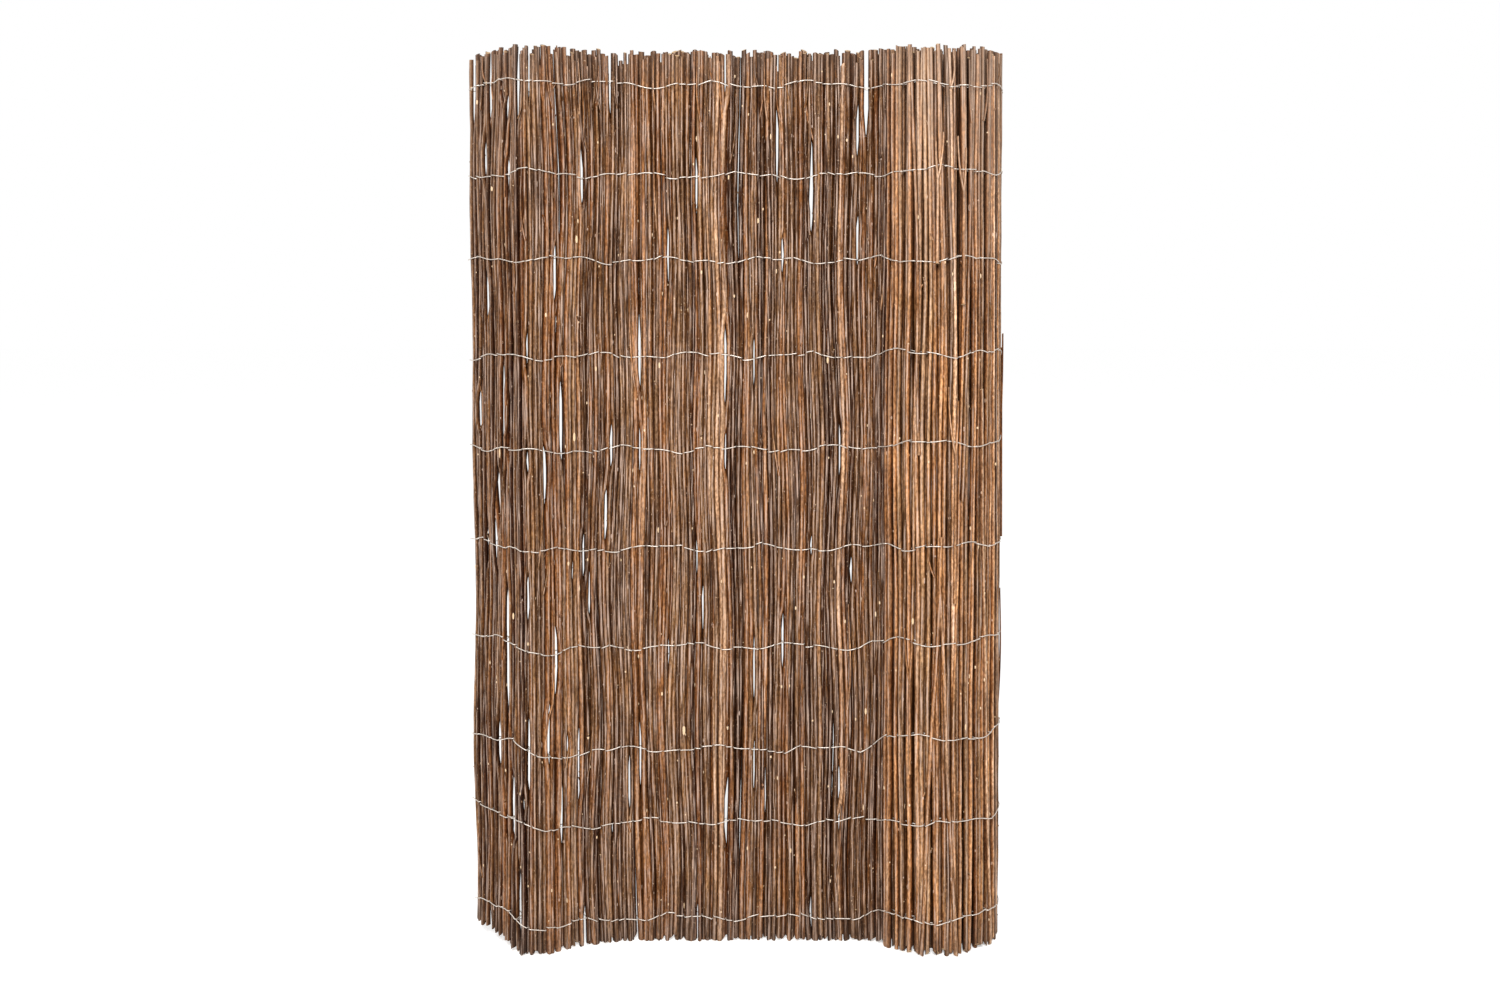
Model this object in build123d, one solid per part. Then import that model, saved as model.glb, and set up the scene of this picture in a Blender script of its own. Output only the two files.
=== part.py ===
from build123d import *
import os
from math import acos, ceil, cos, degrees, pi, radians, sin, sqrt
from random import Random

# Willow fence: a mat of upright willow rods, bound by rows of twisted wire pairs.
# It stands on the rods' lower ends, with its free end unrolled and the rest still in a roll.
# X runs to the right, Y away from the viewer and Z up, in millimetres.

# The fence as it is sold
fence_height = 1000.0
fence_length = 3000.0

# Willow rods, six-sided in section, side by side and fused where their corners press together
rod_diameter = 6.0       # from flat to flat
rod_overlap = 0.6

# Plan of the unrolled mat, from its free end to the roll
wing_width = 73.0        # the end strip, turned back from the fold
wing_angle = 42.0
fold_radius = 26.0
sweep_radius = 200.0     # the mat bows away from the viewer after the fold
sweep_turn = 34.5
flat_width = 228.0       # the flat stretch
valley_radius = 40.0     # the hollow where the mat turns onto the roll
valley_turn = 50.0

# Roll
core_radius = 8.0        # middle of the innermost turn
turn_clearance = 0.9     # between one turn and the next
turn_facets = 15         # facets to each of the inner turns
seam_gap = 0.25          # between the last rod of the open mat and the first of the roll

# Ragged rod ends
mat_ragged_top = 15.0
mat_ragged_foot = 6.0
roll_ragged_top = 9.0
roll_ragged_foot = 4.0
raised_rods = 3          # one rod in this many stops short of the floor
free_end_lift = 5.0      # the free end stands this much higher at its top
wing_foot = 16.0         # rods of the end strip stop this far above the floor
short_rod_drop = 105.0   # one rod beside the roll ends this far below the top
short_rod_place = 4      # counted back from the last rod of the open mat

# Binding wires: each row is a pair of strands that change sides through gaps between rods
wire_rows = 10
wire_width = 1.1
wire_foot = 30.0         # lowest row above the floor
wire_head = 36.0         # highest row below the top
wire_drift = (-3, 1, -22, -9, -2, 4, 3, 4, -1, 1)  # rows that have slipped, from the lowest up
wire_seat = 0.15         # from the rods' crests to the wire
wire_spacing = 0.5       # between the two strands of a pair
wire_reach = 1.5         # past the first rod
wire_stop = 12.0         # the strand behind the mat ends this far short of the roll
wire_slack = 1.0         # how far a wire may stand off between its bends
rods_per_span = 20       # rods between two changes of side
roll_wire_turn = 325.0   # degrees of the outer turn that the wire shows on

# Gaps between rods, taller than they are wide
gap_width = 2.2
gap_reach = (14.0, 55.0)   # how far a gap runs above and below its wire row
slit_count = 24            # further gaps, at any height
slit_height = (35.0, 110.0)

# Worked out from the sizes above
rod_across = rod_diameter / cos(pi / 6)
rod_pitch = rod_across - rod_overlap
fold_turn = wing_angle + sweep_turn
turn_pitch = rod_diameter + turn_clearance
crest = rod_diameter / 2
wire_offset = crest + wire_seat + wire_width / 2
mat_legs = (
    (wing_width, 0.0),
    (fold_radius * radians(fold_turn), fold_turn),
    (sweep_radius * radians(sweep_turn), -sweep_turn),
    (flat_width, 0.0),
    (valley_radius * radians(valley_turn), -valley_turn),
)
open_length = sum(length for length, turn in mat_legs)
rolled_length = fence_length - open_length
roll_radius = sqrt(core_radius**2 + rolled_length * turn_pitch / pi)
core_turn = degrees(2 * pi * (roll_radius - core_radius) / turn_pitch)


def advance(place, length, turn):
    """Moves a place (x, y, heading in degrees) along a line, or along an arc that turns left."""
    x, y, heading = place
    if turn == 0:
        return x + length * cos(radians(heading)), y + length * sin(radians(heading)), heading
    radius = length / radians(turn)
    ahead = heading + turn
    x += radius * (sin(radians(ahead)) - sin(radians(heading)))
    y -= radius * (cos(radians(ahead)) - cos(radians(heading)))
    return x, y, ahead


def on_mat(distance):
    """The place on the open mat's middle line, this far from the free end."""
    place = (0.0, 0.0, -wing_angle)
    for length, turn in mat_legs:
        if distance <= length:
            return advance(place, distance, turn * distance / length)
        place = advance(place, length, turn)
        distance -= length
    return advance(place, distance, 0.0)


def beside(place, offset):
    """The point at this offset from a place, towards the mat's front or the roll's outside."""
    x, y, heading = place
    return x + offset * sin(radians(heading)), y - offset * cos(radians(heading))


leaving = on_mat(open_length)
axis_x, axis_y = beside(leaving, -roll_radius)


def on_roll(turned):
    """The place on the roll's spiral, this many degrees past where the mat leaves it."""
    heading = leaving[2] + turned
    radius = roll_radius - turn_pitch * turned / 360
    return axis_x + radius * sin(radians(heading)), axis_y - radius * cos(radians(heading)), heading


def rod(place, foot, top):
    """One upright willow rod, with a flat side towards the mat's front."""
    x, y, heading = place
    section = RegularPolygon(rod_diameter / 2, 6, major_radius=False)
    return Pos(x, y, foot) * Rot(0, 0, heading) * extrude(section, amount=top - foot)


def ragged_ends(chance, index, top_depth, foot_depth):
    """Foot and top heights of a rod; one rod in a few stops short of the floor."""
    foot = chance.uniform(0.3, 1.0) * foot_depth if index % raised_rods == 1 else 0.0
    return foot, fence_height - free_end_lift - chance.uniform(0, top_depth)


def mat_rod_places():
    """Distances of the open mat's rods from its free end."""
    count = int((open_length - rod_across) / rod_pitch) + 1
    return [rod_across / 2 + index * rod_pitch for index in range(count)]


def wire_heights():
    """Heights of the binding rows, evenly spaced and then slipped."""
    step = (fence_height - wire_foot - wire_head) / (wire_rows - 1)
    return [wire_foot + row * step + wire_drift[row % len(wire_drift)] for row in range(wire_rows)]


def crossings(row):
    """Numbers of the rods after which this row's strands change sides."""
    first = 3 + (row * 5) % rods_per_span
    return range(first, len(mat_rod_places()) - short_rod_place, rods_per_span)


def gap(rod_number, low, high):
    """A through gap between a rod and the next one, from low to high."""
    x, y, heading = on_mat(mat_rod_places()[rod_number] + rod_pitch / 2)
    slot = Box(gap_width, 2 * rod_diameter, high - low, align=(Align.CENTER, Align.CENTER, Align.MIN))
    return Pos(x, y, low) * Rot(0, 0, heading) * slot


def gap_spots():
    """Where the mat can be seen through: the rod before each gap, and the gap's lower and upper ends."""
    chance = Random(7)
    spots = []
    for row, height in enumerate(wire_heights()):
        for rod_number in crossings(row):
            low = height - chance.uniform(*gap_reach)
            high = height + chance.uniform(*gap_reach)
            spots.append((rod_number, max(low, mat_ragged_foot + wing_foot), high))
    for _ in range(slit_count):
        tall = chance.uniform(*slit_height)
        low = chance.uniform(wire_foot, fence_height - wire_head - slit_height[1])
        spots.append((chance.randrange(len(mat_rod_places()) - 1), low, low + tall))
    return spots


def open_mat():
    """The unrolled mat: rods fused into one ridged wall, with gaps at the wires and between them."""
    chance = Random(3)
    places = mat_rod_places()
    rods = []
    for index, distance in enumerate(places):
        foot, top = ragged_ends(chance, index, mat_ragged_top, mat_ragged_foot)
        along_wing = min(distance / wing_width, 1.0)
        foot += wing_foot * (1 - along_wing**3)
        top += free_end_lift * (1 - along_wing)
        if index == len(places) - short_rod_place:
            top -= short_rod_drop
        rods.append(rod(on_mat(distance), foot, top))
    return (Part() + rods) - [gap(*spot) for spot in gap_spots()]


def inner_turns():
    """The roll's covered turns: one spiral band as thick as a rod, from the second turn to the core."""
    step = 360 / turn_facets
    turns = [360 + index * step for index in range(int((core_turn - 360) / step) + 1)]
    outside = [beside(on_roll(turned), crest) for turned in turns]
    inside = [beside(on_roll(turned), -crest) for turned in turns]
    section = make_face(Polyline(*outside, *reversed(inside), close=True))
    return extrude(section, amount=fence_height - free_end_lift - roll_ragged_top)


def roll():
    """The rolled part: the outer turn's rods, fused to each other and to the turns that they cover."""
    chance = Random(5)
    distance = mat_rod_places()[-1] + rod_across + seam_gap - open_length
    turned = degrees(distance / roll_radius)
    rods = []
    while turned < 360:
        foot, top = ragged_ends(chance, len(rods), roll_ragged_top, roll_ragged_foot)
        rods.append(rod(on_roll(turned), foot, top))
        turned += degrees(rod_pitch / (roll_radius - turn_pitch * turned / 360))
    rods.append(rod(on_roll(360), 0.0, fence_height - free_end_lift))
    return Part() + rods + [inner_turns()]


def bend_count(turned, radius):
    """How many corners a wire needs round an arc, to stay within its slack."""
    return ceil(abs(turned) / (2 * degrees(acos(1 - wire_slack / abs(radius)))))


def bends(start, end, offset):
    """Corner points of a wire beside the mat between two distances, clear of the rods at every bend."""
    points = [beside(on_mat(start), offset)]
    begun = 0.0
    for length, turn in mat_legs:
        low, high = max(start, begun), min(end, begun + length)
        begun += length
        if turn == 0 or high - low < 2 * wire_width:
            continue
        turned = turn * (high - low) / length
        radius = length / radians(turn) + offset
        count = bend_count(turned, radius)
        corner = offset
        if radius * offset > 0:
            corner += radius / cos(radians(turned / count / 2)) - radius
        for index in range(count):
            points.append(beside(on_mat(low + (high - low) * (index + 0.5) / count), corner))
    return points + [beside(on_mat(end), offset)]


def roll_bends():
    """Corner points of a wire round the roll's outer turn, from where the mat meets it."""
    count = bend_count(roll_wire_turn, roll_radius + wire_offset)
    step = roll_wire_turn / count
    points = []
    for index in range(count):
        turned = (index + 0.5) * step
        radius = roll_radius - turn_pitch * turned / 360 + wire_offset
        points.append(beside(on_roll(turned), wire_offset + radius / cos(radians(step / 2)) - radius))
    return points + [beside(on_roll(roll_wire_turn), wire_offset)]


def strand_route(row, side):
    """Plan of one strand: along the mat, changing sides at each crossing; the outer one goes round the roll."""
    places = mat_rod_places()
    turns = [places[number] + rod_pitch / 2 for number in crossings(row)]
    stops = [-wire_reach, *turns, open_length if side > 0 else open_length - wire_stop]
    side *= (-1) ** len(turns)
    points = []
    for start, end in zip(stops, stops[1:]):
        points += bends(start, end, side * wire_offset)
        side = -side
    if side < 0:
        points = points[:-1] + roll_bends()
    return points


def ribbon(route, width):
    """The face of this width along a route in plan, with mitred corners."""
    left, right = [], []
    directions = [(Vector(*b) - Vector(*a)).normalized() for a, b in zip(route, route[1:])]
    for index, point in enumerate(route):
        before = directions[max(index - 1, 0)]
        after = directions[min(index, len(directions) - 1)]
        middle = (before + after).normalized()
        mitre = Vector(-middle.Y, middle.X) * (width / 2 / middle.dot(before))
        left.append(Vector(*point) + mitre)
        right.append(Vector(*point) - mitre)
    return make_face(Polyline(*left, *reversed(right), close=True))


def strand(row, side):
    """One square-section strand of a row: side 1 shows on the roll, above the other strand."""
    middle = wire_heights()[row]
    low = middle + wire_spacing / 2 if side > 0 else middle - wire_spacing / 2 - wire_width
    return Pos(0, 0, low) * extrude(ribbon(strand_route(row, side), wire_width), amount=wire_width)


def main():
    nodes = {"open_mat": open_mat(), "roll": roll()}
    for row in range(wire_rows):
        nodes[f"binding_wire_{row + 1:02d}_upper"] = strand(row, 1)
        nodes[f"binding_wire_{row + 1:02d}_lower"] = strand(row, -1)
    box = Compound(list(nodes.values())).bounding_box()
    to_origin = Pos(-box.center().X, -box.center().Y, 0)
    os.makedirs("parts", exist_ok=True)
    for name, shape in nodes.items():
        export_step(to_origin * shape, f"parts/{name}.step")
    print("open mat", round(open_length), "roll radius", round(roll_radius + crest, 1), "rods", len(mat_rod_places()))
    print("roll axis", round(axis_x - box.center().X, 2), round(axis_y - box.center().Y, 2))
    print("free end", round(-box.center().X, 2), round(-box.center().Y, 2))


main()
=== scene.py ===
"""Dresses the willow fence: round rods with bark, bud scars and cut ends, bound by kinked pairs of wire."""
from dataclasses import dataclass
from functools import cached_property
from math import atan2, cos, pi, radians, sin, sqrt, tan
from random import Random

import bpy
import numpy as np
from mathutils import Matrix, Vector


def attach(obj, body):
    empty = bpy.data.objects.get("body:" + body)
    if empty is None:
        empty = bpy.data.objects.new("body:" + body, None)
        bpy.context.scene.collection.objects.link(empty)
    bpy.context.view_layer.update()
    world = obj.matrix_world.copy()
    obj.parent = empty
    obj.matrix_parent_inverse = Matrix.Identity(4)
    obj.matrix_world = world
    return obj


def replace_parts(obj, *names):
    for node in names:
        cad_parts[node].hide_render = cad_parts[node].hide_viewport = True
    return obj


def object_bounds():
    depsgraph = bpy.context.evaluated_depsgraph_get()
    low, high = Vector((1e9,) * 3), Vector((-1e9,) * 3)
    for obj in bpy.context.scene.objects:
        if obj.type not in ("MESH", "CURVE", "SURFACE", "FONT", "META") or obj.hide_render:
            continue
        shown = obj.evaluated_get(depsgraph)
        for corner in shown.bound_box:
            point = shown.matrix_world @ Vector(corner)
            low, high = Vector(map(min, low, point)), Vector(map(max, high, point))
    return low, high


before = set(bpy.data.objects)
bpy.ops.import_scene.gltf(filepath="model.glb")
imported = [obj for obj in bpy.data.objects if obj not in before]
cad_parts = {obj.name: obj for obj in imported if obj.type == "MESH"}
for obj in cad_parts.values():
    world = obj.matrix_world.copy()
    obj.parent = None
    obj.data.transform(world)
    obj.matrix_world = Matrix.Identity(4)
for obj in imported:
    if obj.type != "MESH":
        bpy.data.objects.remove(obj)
cad_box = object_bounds()

# Plan of the mat in metres, as in the CAD model: from its free end to the roll, then the roll's spiral
FREE_END = (-0.29428, -0.01621)
WING_WIDTH = 0.073             # the end strip, turned back from the fold
WING_ANGLE = radians(42)
FOLD_RADIUS = 0.026
SWEEP_RADIUS = 0.2             # the bow between the fold and the flat stretch
SWEEP_TURN = radians(34.5)
FLAT_WIDTH = 0.228
VALLEY_RADIUS = 0.04           # the hollow beside the roll
VALLEY_TURN = radians(50)
FENCE_LENGTH = 3.0
CORE_RADIUS = 0.008
TURN_PITCH = 0.0069
FOLD_TURN = WING_ANGLE + SWEEP_TURN
MAT_LEGS = (
    (WING_WIDTH, 0.0),
    (FOLD_RADIUS * FOLD_TURN, FOLD_TURN),
    (SWEEP_RADIUS * SWEEP_TURN, -SWEEP_TURN),
    (FLAT_WIDTH, 0.0),
    (VALLEY_RADIUS * VALLEY_TURN, -VALLEY_TURN),
)
OPEN_LENGTH = sum(length for length, turn in MAT_LEGS)
FLAT_START = sum(length for length, turn in MAT_LEGS[:3])
ROLL_RADIUS = sqrt(CORE_RADIUS**2 + (FENCE_LENGTH - OPEN_LENGTH) * TURN_PITCH / pi)
OUTER_TURN = OPEN_LENGTH + 2 * pi * (ROLL_RADIUS - TURN_PITCH / 2)  # where the second turn starts

# Camera and light
EYE_FROM_ROLL = (-0.2064, -1.6863)   # from the roll's axis to the camera, in plan
EYE_HEIGHT = 0.701
EYE_TILT = radians(87.89)
LENS = 35.89
LENS_SHIFT = -0.0868
SENSOR_WIDTH = 36.0
ROOM_LIGHT = 0.6                     # from all sides; the room itself shows as white
KEY_PLACE = (-0.15, -2.4, 2.1)
KEY_TARGET = (0.05, 0, 0.5)
KEY_SIZE = 1.0
KEY_POWER = 86
FLOOR_REACH = 30.0

# Sizes and places of the rods; ranges are (lowest, highest)
HIGHEST = cad_box[1][2]
FLOOR_ROOM = 0.0002            # from the floor to the lowest rods
TOP_ROOM = 0.0065              # from the CAD model's top down to the highest rods
TIP_ROOM = 0.001               # and down to the highest shoots
WING_FOOT = 0.018              # the end strip's first rods stop this far above the floor
WING_DROP = 0.002              # and their tops are this much lower
FOOT_RANGE = (-0.003, 0.008)   # unevenness of the feet; less than 0 counts as 0
TOP_SPREAD = 0.007             # unevenness of the tops
BOW_TOP_SPREAD = 0.011         # and between the end strip and the flat stretch
ROD_RADIUS = (0.0018, 0.0032)
MAT_USUAL_RADIUS = 0.0025
ROLL_USUAL_RADIUS = 0.0024
BACK_RADIUS = (0.0026, 0.0033)
LOOSE_RADIUS = (0.002, 0.0026)
FIRST_STATION = 0.003
FIRST_RADIUS = 0.0027
MAT_CROWDING = (0.7, 1.16)     # spacing of the mat's front row, by its rods' thickness
ROLL_CROWDING = (1.02, 1.26)   # the same on the roll's outer turn
COVERED_CROWDING = (0.95, 1.05)
CORE_ROOM = 0.004              # the last rod stops this far short of the mat's inner end
STAND_OUT = (0.0002, 0.0007)   # how far rods stand out of the mat's front: mean and spread
BEHIND = -0.0028               # the same for the second row
LOOSE_OUT = 0.0032             # and for rods that lie over the roll
# Rods over the roll, as (angle past where the mat meets it, foot, top, lean)
LOOSE_RODS = (
    (0.75, 0.0, 0.46, 0.022),
    (0.98, 0.0, 0.40, -0.018),
    (1.25, 0.5, 0.985, 0.014),
    (0.5, 0.55, 0.988, -0.012),
    (1.6, 0.0, 0.62, -0.02),
    (2.6, 0.2, 0.98, 0.02),
    (3.6, 0.0, 0.7, 0.018),
    (4.4, 0.3, 0.985, -0.02),
)

# How rods bend and taper
ANY_PHASE = (0, 6.28)
MAT_LEAN = 0.005               # spread of the lean from foot to top
STRAIGHT_END = 0.03            # rods nearer to the free end than this lean less
BACK_LEAN = 0.001
ROLL_LEAN = 0.0055
MAT_TAPER = (0.2, 0.12)        # mean and spread
ROLL_TAPER = (0.15, 0.1)
OWN_LENGTHS = ((0.25, 0.7), (0.15, 0.4), (0.1, 0.25), (0.06, 0.12))  # of a rod's own waves
OWN_SIZES = (0.4, 1.6)         # their sizes, by the length and one of the next three
MAT_WAVES = 0.0009
BACK_WAVES = 0.0004
ROLL_WAVES = 0.001
MAT_DEPTH = 0.0009             # one more wave of the front row, in and out
DEPTH_SIZES = (0.5, 1.5)
DEPTH_LENGTHS = (0.2, 0.6)
LOOSE_WAVE_SIZE = 0.0008
LOOSE_WAVE_LENGTH = 0.3
LOOSE_WAVE_TURN = 0.4
# Swellings of a rod, as (share of its radius, how close together, shift by its station)
SWELLINGS = ((0.05, 90, 5000), (0.03, 210, 10000))
SWAY_SIZE = (0.0014, 0.0007)   # neighbours sway together, on the open mat and on the roll
SWAY_FADE = 0.03               # from one to the other, before the roll
# Waves of the sway, as (length along the mat, length up the rods, phase along, phase up)
SWAY = ((0.19, 0.52, 0.4, 1.1), (0.13, 0.36, 2.0, 0.3), (0.27, 0.30, 4.1, 2.6), (0.35, 0.85, 1.2, 5.0))
LEAN_FOOT = 0.76               # above this height the rods on the roll's front lean together
LEAN_RISE = 0.24
LEAN_CURVE = 1.5
TOP_LEANS = ((0.004, 0.3, 0.25), (-0.009, 1.0, 0.35))  # (lean at the top, angle past the mat, spread)

# Sorts of bark, as (share, range of hue, range of shade)
MAT_BARK = (
    (0.24, (0.0, 0.25), (0.0, 0.16)),
    (0.18, (0.25, 0.42), (0.34, 0.64)),
    (0.22, (0.55, 0.8), (0.15, 0.46)),
    (0.06, (0.9, 1.0), (0.42, 0.56)),
    (0.3, (0.22, 0.52), (0.14, 0.44)),
)
ROLL_BARK = (
    (0.1, (0.1, 0.35), (0.15, 0.35)),
    (0.24, (0.35, 0.5), (0.65, 0.95)),
    (0.4, (0.58, 0.9), (0.55, 1.0)),
    (0.14, (0.9, 1.0), (0.7, 0.9)),
    (0.14, (0.35, 0.6), (0.4, 0.75)),
)
# The second row's dark colour is painted shade in the gaps between the front rods
BACK_HUE = (0.0, 0.8, 0.2)     # lowest, highest and usual
BACK_SHADE = (0, 0.2)
LOOSE_HUE = (0.5, 1.0)
COVERED_SHADE = 0.3            # painted shade of the roll's covered turns, by the sort's own shade
DIM_HUE = 0.4                  # how much hue and shade fall where the painted shade is darkest
MAT_DIM = 0.55
ROLL_DIM = 0.65
WING_SHADE = 0.4               # painted shade on the end strip, where that in the hollow by the roll is 1
WING_SHADE_END = WING_WIDTH + 0.015
WING_SHADE_FADE = 0.02
HOLLOW_SHADE = 1.6             # over 1, so that the painted shade in the hollow's middle is full all over
HOLLOW_MIDDLE = OPEN_LENGTH - 0.014
HOLLOW_REACH = 0.026

# See-through gaps, as in the CAD model: beside the places where its wires cross, and at random
CAD_ROD = 0.006 / cos(pi / 6)  # across its corners
CAD_PITCH = CAD_ROD - 0.0006
CAD_RODS = 77
CAD_ROWS = (0.027, 0.1348, 0.2156, 0.3323, 0.4431, 0.5529, 0.6557, 0.7604, 0.8592, 0.965)
CAD_SPAN = 20                  # rods from one crossing to the next
CAD_FIRST_CROSSING = 3         # the rod before the lowest row's first crossing, counted from 0
CAD_CROSSING_SHIFT = 5         # rods from there to the next row's
CAD_LAST_RODS = 4              # these have no crossing
GAP_REACH = (0.014, 0.055)     # above and below a crossing
SLIT_COUNT = 24
SLIT_HEIGHT = (0.035, 0.11)
SLIT_ROOM = (0.03, 0.854)      # lower ends of the gaps that are at random
GAP_WIDTH = (0.001, 0.0023)
GAP_NEAR = 0.02                # rods further than this from a gap are clear of it
GAP_ENDS = 1.7                 # how blunt a gap's ends are
# Gaps that the CAD model doesn't have, on and beside the end strip and in the hollow by the roll
STRIP_TOP_STATIONS = (0.0062, 0.035, 0.064, 0.081, 0.093)
STRIP_TOP_GAP = (0.952, 0.045, 0.0016)  # (middle height, half height, width) at each of them
STRIP_GAP_WIDTH = 0.002
# As (station, middle height, half height)
STRIP_GAPS = (
    (0.065, 0.85, 0.024),
    (0.028, 0.72, 0.025),
    (0.055, 0.59, 0.07),
    (0.040, 0.469, 0.05),
    (0.0588, 0.333, 0.085),
    (0.044, 0.23, 0.036),
    (0.0674, 0.162, 0.045),
    (0.0776, 0.056, 0.05),
    (0.1105, 0.238, 0.038),
    (0.1257, 0.15, 0.03),
)
# As (distance before the roll, middle height, half height, width)
HOLLOW_GAPS = ((0.026, 0.985, 0.095, 0.0042), (0.035, 0.9, 0.036, 0.0018))

# Tubes of the rods: (rings, sides), and how their ends are cut
SEEN_TUBE = (64, 10)
BACK_TUBE = (32, 8)
COVERED_TUBE = (8, 8)
FOOT_SLANT = (0.2, 1.4)
TOP_SLANT = (-0.6, 0.6)
FOOT_EASE = 8                  # how close to the foot a slanted cut lifts the rings
CUT_TURN = 6                   # a cut faces by the rod's colour, so that it differs from rod to rod

# Bud scars, and spots where the bark has come off
SCAR_SIDES = 8
SCAR_LENGTH = (0.0014, 0.003)
SCAR_WIDTH = (0.0007, 0.0012)
SCAR_RISE = (0.0003, 0.0009)
SCAR_PEAK = 0.2                # height of its top above its middle, by its length
SCAR_SEAT = 0.93               # distance of its rim from the rod's middle, by the rod's radius
SCAR_SIZES = (0.4, 0.6, 0.8, 1.0, 1.3)
SCAR_START = (0.02, 0.06)      # from the rod's foot to its first scar
SCAR_STEP = (0.025, 0.075)
SCAR_TURN = radians(144)       # round the rod, from one scar to the next
SCAR_TOP_ROOM = 0.015
PALE_SHARE = 0.28
PEELED_SIZE = 2.4
# Peeled spots, as (station, height)
PEELED = ((0.142, 0.783), (0.308, 0.783), (0.142, 0.567), (0.264, 0.238), (0.05, 0.55))

# Stubs of side twigs, and shoots
TWIG_SIDES = 7
TWIG_SLANTS = (0.0, 0.5)
STUB_SHARE = 0.05
STUB_RINGS = 5
STUB_LENGTH = (0.003, 0.0065)
STUB_SEAT = 0.6                # distance of its root from the rod's middle, by the rod's radius
STUB_REACH = 0.55              # how far it sticks out, by its length
STUB_CURVE = 0.8
STUB_ROOT = 0.0013
STUB_TIP = (0.0007, 0.001)
SHOOT_RINGS = 24
SHOOT_PARTING = 0.6            # share of its length over which it leaves the rod
SHOOT_SEAT = 0.9
SHOOT_BOW = 0.0009
SHOOT_RADII = (0.0013, 0.0007)
SHOOT_HUE = 0.15               # paler than its rod by this
SHOOT_SHADE = 0.5              # and at least this light
SIDE_SHOOT_SHARE = 0.18
SIDE_SHOOT_LENGTH = (0.05, 0.16)
SIDE_SHOOT_ASIDE = (0.003, 0.008)
SIDE_SHOOT_LOWEST = 0.03       # lowest place of its root, above the rod's foot
SIDE_SHOOT_TOP_ROOM = 0.01     # from its highest tip to the rod's top
SIDE_SHOOT_LEAST = 0.04        # on a short rod its highest root is this far above the foot
TIP_SHOOT_SHARE = 0.16
TIP_SHOOT_START = (0.03, 0.09)
TIP_SHOOT_END = (-0.014, 0.003)
TIP_SHOOT_ASIDE = (0.002, 0.006)
LONG_ROD_TOP = 0.9             # only rods that end above this have shoots at their tips

# Forked twigs on the roll: (angle past where the mat meets it, height of the fork, stem, branch, spread)
FORKS = (
    (1.06, 0.548, 0.16, 0.075, 0.008),
    (0.80, 0.846, 0.09, 0.05, -0.006),
    (1.16, 0.832, 0.12, 0.06, 0.007),
    (0.45, 0.30, 0.1, 0.06, 0.006),
    (2.4, 0.6, 0.15, 0.08, 0.008),
    (4.0, 0.4, 0.12, 0.07, -0.007),
)
FORK_RINGS = 20
FORK_SIDES = 8
FORK_OUT = 0.0052
FORK_COLOUR = (0.85, 0.72)
FORK_SLANTS = (0.3, 0.3)
STEM_RADII = (0.0015, 0.0022)
LONG_BRANCH_RADII = (0.0015, 0.0009)
SHORT_BRANCH_RADII = (0.0016, 0.0011)
SHORT_BRANCH = 0.8             # its length and its spread, by the long branch's
SHORT_SPREAD = 0.35

# Binding wires: heights of the rows on the open mat and on the roll, from the lowest up
MAT_ROWS = (0.028, 0.136, 0.218, 0.333, 0.443, 0.553, 0.656, 0.761, 0.854, 0.953)
ROLL_ROWS = (0.040, 0.146, 0.240, 0.345, 0.450, 0.562, 0.660, 0.761, 0.857, 0.949)
ROW_BLEND_START = OPEN_LENGTH - 0.03
ROW_BLEND_LENGTH = 0.04
STRIP_LIFT = 0.016             # how much higher the lowest rows lie on the end strip
STRIP_LIFT_END = 0.105
STRIP_LIFT_FADE = 0.035
UNLIFTED_ROW = 0.6             # rows above this aren't lifted
ROW_LIFT_FADE = 0.4            # and rows this much lower are lifted fully
ROW_WAVES = ((0.0028, 0.115, 1.9), (0.0014, 0.047, 2.7))  # (size, length, phase from row to row)
WIRE_RADIUS = 0.00055
WIRE_SEAT = 0.9                # from the rods' crests to the wire's middle, by its radius
WIRE_START = -0.0015
WIRE_STOP = OUTER_TURN - 0.03
WIRE_STEP = 0.0009
WIRE_STRETCH = 4               # steps over which a wire runs straight from a crest
WIRE_DROP = 0.0009             # spread of its height at the crossings
CROSSING_HALF = 0.0011
FIRST_CROSSINGS = (1, 2)       # the rod before a row's first crossing, counted from 0
CROSSING_RODS = (2, 2, 3, 3, 4)  # rods from one crossing to the next

# Where the bark is faded or dark, as (from, to) along X or Z
ROLL_X = (0.15, 0.19)
WING_X = (-0.2, -0.26)
FADED_Z = (0.72, 0.97)
FOOT_Z = (0.0, 0.05)
TOP_Z = (0.94, 1.0)


# The mat's plan

def advance(place, length, turn):
    """Moves a place (x, y, heading) along a line, or along an arc, where a positive turn goes left."""
    x, y, heading = place
    if turn == 0:
        return x + length * cos(heading), y + length * sin(heading), heading
    radius = length / turn
    ahead = heading + turn
    return x + radius * (sin(ahead) - sin(heading)), y - radius * (cos(ahead) - cos(heading)), ahead


def mat_place(station):
    """The place on the open mat's middle line, this far from the free end."""
    place = (*FREE_END, -WING_ANGLE)
    for length, turn in MAT_LEGS:
        if station <= length:
            return advance(place, station, turn * station / length)
        place = advance(place, length, turn)
        station -= length
    return advance(place, station, 0.0)


LEAVING = mat_place(OPEN_LENGTH)
ROLL_AXIS = (LEAVING[0] - ROLL_RADIUS * sin(LEAVING[2]), LEAVING[1] + ROLL_RADIUS * cos(LEAVING[2]))
EYE = (ROLL_AXIS[0] + EYE_FROM_ROLL[0], ROLL_AXIS[1] + EYE_FROM_ROLL[1], EYE_HEIGHT)


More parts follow.
